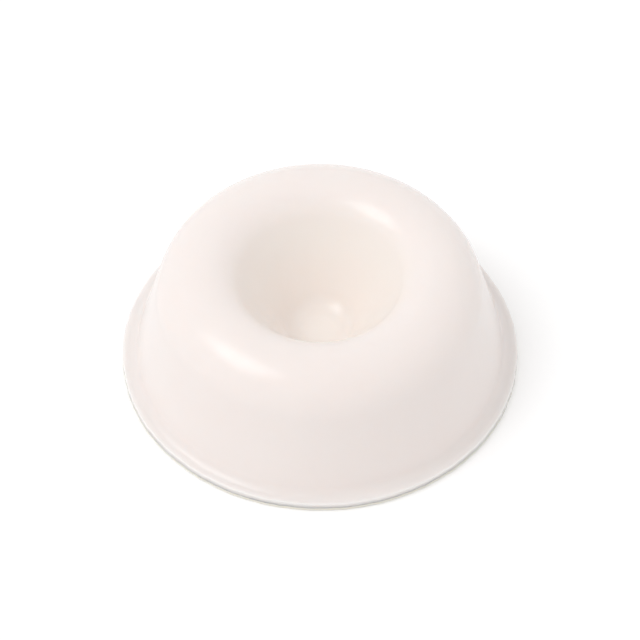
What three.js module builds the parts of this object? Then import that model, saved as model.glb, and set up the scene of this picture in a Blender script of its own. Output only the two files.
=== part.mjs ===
// A round stick-on bumper foot: a soft white foot moulded as one solid of revolution, on a disc of
// adhesive film. It stands on the adhesive face, which is z = 0, with its axis along +Z.
// All lengths are in millimetres and all angles in degrees.
import * as THREE from 'three';

// The whole foot, adhesive film included
const footHeight = 7.8;
const baseDiameter = 22.4;

// Adhesive film under the foot, cut with the same round die
const filmThickness = 0.2;

// Thin land round the bottom, left by the die that cuts the foot out of its moulded sheet
const landThickness = 0.35;
const landWidth = 0.15;

// Outer wall: it rises from the land on a small foot radius and leans in to the crown
const footRadius = 0.75;

// Crown: a rolled ring whose crest is a circle, with an outer and an inner rounding
const crestDiameter = 12.9;
const crownOuterRadius = 2.85;
const crownInnerRadius = 2.25;

// Recess in the top: its wall leans in from the crown and runs in one hollow to a small flat floor
const recessDepth = 5.2;
const floorRadius = 1.55;
const floorFlatDiameter = 1.6;

// Facets of the round surfaces
const facetsAround = 64;
const arcStep = 12;

const filmColour = 0xe9e1cf;
const bodyColour = 0xf6ece8;

const radians = THREE.MathUtils.degToRad;
const degrees = THREE.MathUtils.radToDeg;

// Points along an arc in the (radius, height) half-plane, both ends included.
function arc(centre, radius, from, to) {
  const steps = Math.max(2, Math.ceil(Math.abs(to - from) / arcStep));
  return Array.from({ length: steps + 1 }, (unused, i) => {
    const angle = radians(from + ((to - from) * i) / steps);
    return new THREE.Vector2(centre.x + radius * Math.cos(angle), centre.y + radius * Math.sin(angle));
  });
}

// Direction, in degrees, of the normal of the straight line that leaves a convex arc and runs into
// a hollow one: the line touches the two circles on opposite sides. side is +1 where the normal
// leans away from the axis (outer wall) and -1 where it leans towards it (recess wall).
function wallNormal(convex, convexRadius, hollow, hollowRadius, side) {
  const across = side * (hollow.x - convex.x);
  const up = hollow.y - convex.y;
  const lean = Math.atan2(up, across) + Math.acos((convexRadius + hollowRadius) / Math.hypot(across, up));
  return side > 0 ? degrees(lean) : 180 - degrees(lean);
}

// Solid of revolution about +Z from a profile that starts and ends on the axis.
function turned(name, profile, colour, roughness) {
  const geometry = new THREE.LatheGeometry(profile, facetsAround);
  geometry.rotateX(Math.PI / 2);
  const mesh = new THREE.Mesh(geometry, new THREE.MeshStandardMaterial({ color: colour, roughness, metalness: 0 }));
  mesh.name = name;
  return mesh;
}

const baseRadius = baseDiameter / 2;
const crestRadius = crestDiameter / 2;
const landTop = filmThickness + landThickness;
const floorHeight = footHeight - recessDepth;

function adhesivePad() {
  const profile = [
    new THREE.Vector2(0, 0),
    new THREE.Vector2(baseRadius, 0),
    new THREE.Vector2(baseRadius, filmThickness),
    new THREE.Vector2(0, filmThickness),
  ];
  return turned('adhesive_pad', profile, filmColour, 0.25);
}

function bumperBody() {
  const footCentre = new THREE.Vector2(baseRadius - landWidth, landTop + footRadius);
  const outerCentre = new THREE.Vector2(crestRadius, footHeight - crownOuterRadius);
  const innerCentre = new THREE.Vector2(crestRadius, footHeight - crownInnerRadius);
  const floorCentre = new THREE.Vector2(floorFlatDiameter / 2, floorHeight + floorRadius);
  const wall = wallNormal(outerCentre, crownOuterRadius, footCentre, footRadius, 1);
  const recess = wallNormal(innerCentre, crownInnerRadius, floorCentre, floorRadius, -1);
  const profile = [
    new THREE.Vector2(0, filmThickness),
    new THREE.Vector2(baseRadius, filmThickness),
    new THREE.Vector2(baseRadius, landTop),
    ...arc(footCentre, footRadius, 270, 180 + wall),
    ...arc(outerCentre, crownOuterRadius, wall, 90),
    ...arc(innerCentre, crownInnerRadius, 90, recess).slice(1),
    ...arc(floorCentre, floorRadius, recess - 180, -90),
    new THREE.Vector2(0, floorHeight),
  ];
  return turned('bumper_body', profile, bodyColour, 0.3);
}

const foot = new THREE.Group();
foot.add(adhesivePad(), bumperBody());

export default foot;
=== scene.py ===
"""Looks of a round stick-on bumper foot: a soft white foot moulded in one piece, on a disc of
adhesive film. It lies adhesive face down on a white table, under soft studio light."""
import math

import bpy
import numpy as np
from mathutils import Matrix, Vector


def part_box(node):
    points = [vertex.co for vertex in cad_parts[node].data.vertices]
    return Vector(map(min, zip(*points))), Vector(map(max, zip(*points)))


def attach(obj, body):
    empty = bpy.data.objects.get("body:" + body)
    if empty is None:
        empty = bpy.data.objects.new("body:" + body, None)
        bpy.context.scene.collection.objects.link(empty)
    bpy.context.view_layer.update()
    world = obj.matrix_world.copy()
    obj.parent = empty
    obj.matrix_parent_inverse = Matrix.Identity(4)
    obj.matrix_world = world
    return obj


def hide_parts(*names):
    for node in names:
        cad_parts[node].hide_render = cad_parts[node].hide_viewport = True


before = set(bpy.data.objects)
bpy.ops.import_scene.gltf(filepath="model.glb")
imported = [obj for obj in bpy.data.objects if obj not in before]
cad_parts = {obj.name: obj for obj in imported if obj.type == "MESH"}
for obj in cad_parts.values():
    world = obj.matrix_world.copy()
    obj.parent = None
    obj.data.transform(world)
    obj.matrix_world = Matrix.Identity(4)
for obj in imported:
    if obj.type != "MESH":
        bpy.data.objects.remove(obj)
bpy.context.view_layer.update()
MM = 0.001


# Adhesive film: a disc of pale acrylic pressure-sensitive adhesive under the whole foot. It is
# coated on the moulded sheet and cut with it by one round die, so its edge is flush with the foot's
# and slightly ragged, and its free face is glossy with a faint mottle.
film_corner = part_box("adhesive_pad")[1]
film_radius = film_corner.x
film_top = film_corner.z
film_edge_round = 0.04 * MM
film_pale, film_shaded = (0.91, 0.88, 0.80), (0.87, 0.83, 0.73)
film_cloud_mm, film_grain_mm, film_grain_depth = 2.5, 0.35, 0.006 * MM
film_roughness = (0.12, 0.26)
film_scatter, film_scatter_tint, film_scatter_length = 0.4, (1.0, 0.9, 0.7), 0.05 * MM
ragged_depth = 0.05 * MM
ragged_reach = 0.3 * MM
cut_waves = ((9, 0.4), (31, 2.1), (74, 1.3))
facets_around = 384
flat_steps, edge_steps, rim_steps = 60, 4, 3


def arc(centre, radius, start, end, steps):
    """Points (radius, height) on a circle arc: the centre plus radius times the cosine and sine of
    an angle that runs evenly from start to end, in degrees."""
    angle = np.radians(np.linspace(start, end, steps + 1))
    return np.column_stack([centre[0] + radius * np.cos(angle), centre[1] + radius * np.sin(angle)])


def line(start, end, steps):
    """Points on a straight line, both ends included, at even shares of its length."""
    share = np.linspace(0, 1, steps + 1)[:, None]
    return np.asarray(start) + share * (np.asarray(end) - np.asarray(start))


def ragged_cut(r, outer_radius, angle):
    """How far the die's cut lies inside its circle: half the depth times one minus the mean of the
    cut's sine waves, so it is never negative. Each wave has a whole number of periods round the
    foot and a phase in radians. The cut fades linearly to nothing over the ragged reach inwards
    from the edge."""
    waves = sum(np.sin(periods * angle + phase) for periods, phase in cut_waves)
    near_edge = np.clip(1 - (outer_radius - r) / ragged_reach, 0, 1)
    return near_edge * ragged_depth * 0.5 * (1 - waves / len(cut_waves))


def turned(name, profile, reshape):
    """Closed mesh of revolution about Z. Vertex (i, j) stands at profile point i and angle j, at
    (r cos a, r sin a, z) after reshape(r, z, a). The profile's first and last points lie on the
    axis, and each becomes one vertex that closes its end."""
    angle = np.linspace(0, 2 * np.pi, facets_around, endpoint=False)
    rings = profile[1:-1]
    r, z = reshape(rings[:, :1], rings[:, 1:], angle[None, :])
    skin = np.stack([r * np.cos(angle), r * np.sin(angle), z + 0 * r], -1).reshape(-1, 3)
    ends = [[0, 0, profile[0, 1]], [0, 0, profile[-1, 1]]]
    step = np.arange(facets_around)
    after = (step + 1) % facets_around
    ring = np.arange(len(rings) - 1)[:, None] * facets_around
    above = ring + facets_around
    sides = np.stack([ring + step, ring + after, above + after, above + step], -1)
    last = (len(rings) - 1) * facets_around
    start_cap = np.column_stack([after, step, np.full_like(step, len(skin))])
    end_cap = np.column_stack([last + step, last + after, np.full_like(step, len(skin) + 1)])
    faces = sides.reshape(-1, 4).tolist() + start_cap.tolist() + end_cap.tolist()
    mesh = bpy.data.meshes.new(name)
    mesh.from_pydata(np.vstack([skin, ends]).tolist(), [], faces)
    mesh.polygons.foreach_set("use_smooth", np.ones(len(mesh.polygons), bool))
    mesh.update()
    piece = bpy.data.objects.new(name, mesh)
    bpy.context.scene.collection.objects.link(piece)
    return piece


def film_shape(r, z, angle):
    """The rim follows the die's cut, and the faces stay flat."""
    return r - ragged_cut(r, film_radius, angle), z


film_profile = np.vstack([
    line((0, 0), (film_radius - film_edge_round, 0), flat_steps),
    arc((film_radius - film_edge_round, film_edge_round), film_edge_round, -90, 0, edge_steps)[1:],
    line((film_radius, film_edge_round), (film_radius, film_top), rim_steps)[1:],
    line((film_radius, film_top), (0, film_top), flat_steps)[1:],
])
film = turned("adhesive_film", film_profile, film_shape)


def polymer_skin_group():
    """Uneven skin of a cast or moulded polymer, in Object coordinates. A slow noise gives the cloudy
    drift of tone, and a fine smooth noise gives the grain of the surface. Both sizes are in
    millimetres, and a noise's scale is the number of its sizes in a metre."""
    cloud_detail, grain_detail = 3.0, 1.0
    group = bpy.data.node_groups.new("polymer_skin", "ShaderNodeTree")
    for socket in ("Cloud Size", "Grain Size"):
        group.interface.new_socket(socket, in_out="INPUT", socket_type="NodeSocketFloat")
    for socket in ("Cloud", "Grain"):
        group.interface.new_socket(socket, in_out="OUTPUT", socket_type="NodeSocketFloat")
    nodes, links = group.nodes, group.links
    given, out = nodes.new("NodeGroupInput"), nodes.new("NodeGroupOutput")
    place = nodes.new("ShaderNodeTexCoord")
    for kind, detail in (("Cloud", cloud_detail), ("Grain", grain_detail)):
        noise, scale = nodes.new("ShaderNodeTexNoise"), nodes.new("ShaderNodeMath")
        noise.inputs["Detail"].default_value = detail
        scale.operation = "DIVIDE"
        scale.inputs[0].default_value = 1 / MM
        links.new(given.outputs[f"{kind} Size"], scale.inputs[1])
        links.new(scale.outputs[0], noise.inputs["Scale"])
        links.new(place.outputs["Object"], noise.inputs["Vector"])
        links.new(noise.outputs["Fac"], out.inputs[kind])
    return group


polymer_skin = polymer_skin_group()


def start_material(name, cloud_size, grain_size):
    """A material with its Principled shader and a polymer skin of the sizes given, in millimetres."""
    material = bpy.data.materials.new(name)
    material.use_nodes = True
    nodes, links = material.node_tree.nodes, material.node_tree.links
    skin = nodes.new("ShaderNodeGroup")
    skin.node_tree = polymer_skin
    skin.inputs["Cloud Size"].default_value = cloud_size
    skin.inputs["Grain Size"].default_value = grain_size
    return material, nodes, links, nodes["Principled BSDF"], skin


def drift(nodes, links, source, span, target):
    """Drives a socket with a noise: the noise's usual range is stretched over a span of values, and
    what lies beyond it is held at the span's ends."""
    usual_range = (0.3, 0.7)
    stretch = nodes.new("ShaderNodeMapRange")
    stretch.inputs["From Min"].default_value, stretch.inputs["From Max"].default_value = usual_range
    stretch.inputs["To Min"].default_value, stretch.inputs["To Max"].default_value = span
    links.new(source, stretch.inputs["Value"])
    links.new(stretch.outputs["Result"], target)


def two_tones(nodes, links, source, first, second):
    """The colour that a factor blends between two tones."""
    blend = nodes.new("ShaderNodeMix")
    blend.data_type = "RGBA"
    blend.inputs["A"].default_value, blend.inputs["B"].default_value = (*first, 1), (*second, 1)
    links.new(source, blend.inputs["Factor"])
    return blend.outputs["Result"]


def relief(nodes, links, source, depth, normal):
    """Bump of a height factor whose full range is a depth in metres."""
    bump = nodes.new("ShaderNodeBump")
    bump.inputs["Distance"].default_value = depth
    links.new(source, bump.inputs["Height"])
    links.new(bump.outputs["Normal"], normal)


adhesive, nodes, links, shader, skin = start_material("pale_adhesive", film_cloud_mm, film_grain_mm)
film_tone = two_tones(nodes, links, skin.outputs["Cloud"], film_pale, film_shaded)
links.new(film_tone, shader.inputs["Base Color"])
drift(nodes, links, skin.outputs["Grain"], film_roughness, shader.inputs["Roughness"])
relief(nodes, links, skin.outputs["Grain"], film_grain_depth, shader.inputs["Normal"])
shader.inputs["Subsurface Weight"].default_value = film_scatter
shader.inputs["Subsurface Radius"].default_value = film_scatter_tint
shader.inputs["Subsurface Scale"].default_value = film_scatter_length
film.data.materials.append(adhesive)
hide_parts("adhesive_pad")
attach(film, "root")


# Moulded foot: white polyurethane elastomer cast in a cavity as one piece: a thin land round the
# bottom, a wall that leans in to a rolled crown, and a blind recess with a hollow floor. The cast
# shrinks a little unevenly as it cures, so the crown isn't quite level.
foot_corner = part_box("bumper_body")[1]
base_radius = foot_corner.x
foot_height = foot_corner.z
land_thickness = 0.35 * MM
land_width = 0.15 * MM
land_edge_round = 0.06 * MM
foot_radius = 0.75 * MM
crest_radius = 6.45 * MM
crown_outer_radius = 2.85 * MM
crown_inner_radius = 2.25 * MM
recess_depth = 5.2 * MM
floor_radius = 1.55 * MM
floor_flat_radius = 0.8 * MM
crown_waver = 0.02 * MM
waver_periods, waver_phase = 2, 0.7
mouth_radius = 5.78 * MM
mouth_blend = 1.8 * MM
foot_pale, foot_shaded = (0.940, 0.847, 0.817), (0.925, 0.829, 0.797)
# Painted light: the recess tones are lighter and yellower than the foot's, for light that passes
# through the ring and bounces inside the recess.
recess_painted_light_pale, recess_painted_light_shaded = (0.958, 0.868, 0.822), (0.944, 0.850, 0.802)
foot_cloud_mm, foot_grain_mm, foot_grain_depth = 5.0, 0.4, 0.003 * MM
foot_roughness = (0.23, 0.265)
foot_scatter, foot_scatter_tint, foot_scatter_length = 1.0, (1.0, 0.94, 0.90), 0.5 * MM
base_steps, land_steps, wall_steps, recess_steps, floor_steps = 40, 4, 24, 8, 6
foot_steps, outer_steps, inner_steps, hollow_steps = 14, 32, 22, 20
land_top = film_top + land_thickness
floor_height = foot_height - recess_depth


def wall_normal(convex, convex_radius, hollow, hollow_radius, side):
    """Direction in degrees of the normal of the straight wall between a convex and a hollow arc. The
    line of centres makes an angle with it whose cosine is the sum of radii over their distance;
    side is 1 where the normal points away from the axis and -1 where it points towards it."""
    across, up = side * (hollow[0] - convex[0]), hollow[1] - convex[1]
    distance = math.hypot(across, up)
    lean = math.degrees(math.atan2(up, across) + math.acos((convex_radius + hollow_radius) / distance))
    return lean if side > 0 else 180 - lean


foot_centre = (base_radius - land_width, land_top + foot_radius)
outer_centre = (crest_radius, foot_height - crown_outer_radius)
inner_centre = (crest_radius, foot_height - crown_inner_radius)
floor_centre = (floor_flat_radius, floor_height + floor_radius)
land_edge = (base_radius - land_edge_round, land_top - land_edge_round)
wall_angle = wall_normal(outer_centre, crown_outer_radius, foot_centre, foot_radius, 1)
recess_angle = wall_normal(inner_centre, crown_inner_radius, floor_centre, floor_radius, -1)
foot_arc = arc(foot_centre, foot_radius, 270, 180 + wall_angle, foot_steps)
outer_arc = arc(outer_centre, crown_outer_radius, wall_angle, 90, outer_steps)
inner_arc = arc(inner_centre, crown_inner_radius, 90, recess_angle, inner_steps)
floor_arc = arc(floor_centre, floor_radius, recess_angle - 180, -90, hollow_steps)


def foot_shape(r, z, angle):
    """The land follows the die's cut, up to the land's top. The crown sinks by half the waver times
    one minus a sine wave round the foot, times the square of its share of the height from the
    centre of its inner arc to the crest."""
    rim = np.where(z <= land_top, ragged_cut(r, base_radius, angle), 0)
    high = np.clip((z - inner_centre[1]) / crown_inner_radius, 0, 1)
    waver = high ** 2 * crown_waver * 0.5 * (1 - np.sin(waver_periods * angle + waver_phase))
    return r - rim, z - waver


foot_profile = np.vstack([
    line((0, film_top), (base_radius, film_top), base_steps),
    line((base_radius, film_top), (base_radius, land_edge[1]), land_steps)[1:],
    arc(land_edge, land_edge_round, 0, 90, edge_steps)[1:],
    foot_arc,
    line(foot_arc[-1], outer_arc[0], wall_steps)[1:],
    outer_arc[1:],
    inner_arc[1:],
    line(inner_arc[-1], floor_arc[0], recess_steps)[1:],
    floor_arc[1:],
    line(floor_arc[-1], (0, floor_height), floor_steps)[1:],
])
foot = turned("moulded_foot", foot_profile, foot_shape)


def axis_distance(nodes, links):
    """Distance from the Z axis in Object coordinates, as the length of the place times (1, 1, 0)."""
    place = nodes.new("ShaderNodeTexCoord")
    flat, length = nodes.new("ShaderNodeVectorMath"), nodes.new("ShaderNodeVectorMath")
    flat.operation, length.operation = "MULTIPLY", "LENGTH"
    flat.inputs[1].default_value = (1, 1, 0)
    links.new(place.outputs["Object"], flat.inputs[0])
    links.new(flat.outputs["Vector"], length.inputs[0])
    return length.outputs["Value"]


# The recess is painted lighter and yellower than the rest of the foot. This is painted light that
# stands in for light passing through the ring and bouncing inside the recess, blended in by the
# distance from
# the axis. The roughness stays below 0.27: a drift from 0.24 to 0.29 rendered as patches with hard
# outlines.
elastomer, nodes, links, shader, skin = start_material("white_elastomer", foot_cloud_mm, foot_grain_mm)
outside = two_tones(nodes, links, skin.outputs["Cloud"], foot_pale, foot_shaded)
recess_painted_light = two_tones(nodes, links, skin.outputs["Cloud"], recess_painted_light_pale, recess_painted_light_shaded)
# Mask of the recess's painted light: full inside the mouth less its blend, fading to nothing at the
# mouth's radius.
painted_light_mask, tone_with_painted_light = nodes.new("ShaderNodeMapRange"), nodes.new("ShaderNodeMix")
painted_light_mask.interpolation_type = "SMOOTHSTEP"
painted_light_mask.inputs["From Min"].default_value = mouth_radius
painted_light_mask.inputs["From Max"].default_value = mouth_radius - mouth_blend
tone_with_painted_light.data_type = "RGBA"
links.new(axis_distance(nodes, links), painted_light_mask.inputs["Value"])
links.new(painted_light_mask.outputs["Result"], tone_with_painted_light.inputs["Factor"])
links.new(outside, tone_with_painted_light.inputs["A"])
links.new(recess_painted_light, tone_with_painted_light.inputs["B"])
links.new(tone_with_painted_light.outputs["Result"], shader.inputs["Base Color"])
drift(nodes, links, skin.outputs["Cloud"], foot_roughness, shader.inputs["Roughness"])
relief(nodes, links, skin.outputs["Grain"], foot_grain_depth, shader.inputs["Normal"])
shader.inputs["Subsurface Weight"].default_value = foot_scatter
shader.inputs["Subsurface Radius"].default_value = foot_scatter_tint
shader.inputs["Subsurface Scale"].default_value = foot_scatter_length
foot.data.materials.append(elastomer)
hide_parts("bumper_body")
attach(foot, "root")


# White table under the foot, wide enough to reach past the picture from any side. It shows as plain
# white to the camera and keeps the foot's soft shadow.
table_half = 0.6
table_drop = 0.02 * MM
table_white = (0.88, 0.88, 0.88)
table_roughness, table_gloss = 0.9, 0.1
table_lift = 0.18
table_mesh = bpy.data.meshes.new("table_top")
corners = np.array([(-1, -1), (1, -1), (1, 1), (-1, 1)]) * table_half
table_mesh.from_pydata(np.column_stack([corners, np.full(4, -table_drop)]).tolist(), [], [(0, 1, 2, 3)])
table_top = bpy.data.objects.new("table_top", table_mesh)
bpy.context.scene.collection.objects.link(table_top)


def seen_directly(nodes, links):
    """1 on camera, glossy and transmission rays and 0 on all others, as the greatest of the three."""
    rays = nodes.new("ShaderNodeLightPath")
    seen = rays.outputs["Is Camera Ray"]
    for kind in ("Is Glossy Ray", "Is Transmission Ray"):
        greater = nodes.new("ShaderNodeMath")
        greater.operation = "MAXIMUM"
        links.new(seen, greater.inputs[0])
        links.new(rays.outputs[kind], greater.inputs[1])
        seen = greater.outputs[0]
    return seen


white_table = bpy.data.materials.new("white_table")
white_table.use_nodes = True
nodes, links = white_table.node_tree.nodes, white_table.node_tree.links
shader = nodes["Principled BSDF"]
shader.inputs["Base Color"].default_value = (*table_white, 1)
shader.inputs["Roughness"].default_value = table_roughness
shader.inputs["Specular IOR Level"].default_value = table_gloss
shader.inputs["Emission Color"].default_value = (1, 1, 1, 1)
lift = nodes.new("ShaderNodeMath")
lift.operation = "MULTIPLY"
lift.inputs[1].default_value = table_lift
links.new(seen_directly(nodes, links), lift.inputs[0])
links.new(lift.outputs[0], shader.inputs["Emission Strength"])
table_mesh.materials.append(white_table)


# Light: a softbox high on the left and slightly in front, in a bright white room. To the camera and
# in reflections the room is plain white.
key_azimuth, key_elevation = math.radians(191), math.radians(57)
key_distance, key_side, key_power = 1.2, 0.6, 3.6
room_level, room_seen_level = 0.82, 1.0
towards_key = Vector((
    math.cos(key_azimuth) * math.cos(key_elevation),
    math.sin(key_azimuth) * math.cos(key_elevation),
    math.sin(key_elevation),
))
softbox = bpy.data.lights.new("softbox", "AREA")
softbox.shape = "SQUARE"
softbox.size = key_side
softbox.energy = key_power
softbox_object = bpy.data.objects.new("softbox", softbox)
softbox_object.location = towards_key * key_distance
softbox_object.rotation_mode = "QUATERNION"
softbox_object.rotation_quaternion = towards_key.to_track_quat("Z", "Y")
bpy.context.scene.collection.objects.link(softbox_object)
room = bpy.data.worlds.new("white_room")
room.use_nodes = True
nodes, links = room.node_tree.nodes, room.node_tree.links
backdrop = nodes["Background"]
backdrop.inputs["Color"].default_value = (1, 1, 1, 1)
level = nodes.new("ShaderNodeMapRange")
level.inputs["To Min"].default_value = room_level
level.inputs["To Max"].default_value = room_seen_level
links.new(seen_directly(nodes, links), level.inputs["Value"])
links.new(level.outputs["Result"], backdrop.inputs["Strength"])
bpy.context.scene.world = room


# Camera: the photograph's view of the foot in its middle, from 50 degrees above the table, with
# about the same perspective, and a longer lens so that the one foot fills the picture.
camera_elevation = math.radians(50)
camera_distance = 0.50
foot_share_of_width = 0.62
aim_share_of_height = 0.42
sensor_width_mm = 36
clip_near, clip_far = 0.01, 10
aim = Vector((0, 0, foot_height * aim_share_of_height))
camera = bpy.data.cameras.new("camera")
camera.sensor_width = sensor_width_mm
camera.lens = sensor_width_mm * foot_share_of_width * camera_distance / (2 * base_radius)
camera.clip_start, camera.clip_end = clip_near, clip_far
camera_object = bpy.data.objects.new("camera", camera)
back = Vector((0, -math.cos(camera_elevation), math.sin(camera_elevation)))
camera_object.location = aim + back * camera_distance
camera_object.rotation_mode = "QUATERNION"
camera_object.rotation_quaternion = back.to_track_quat("Z", "Y")
bpy.context.scene.collection.objects.link(camera_object)
bpy.context.scene.camera = camera_object
bpy.context.scene.view_settings.view_transform = "Standard"
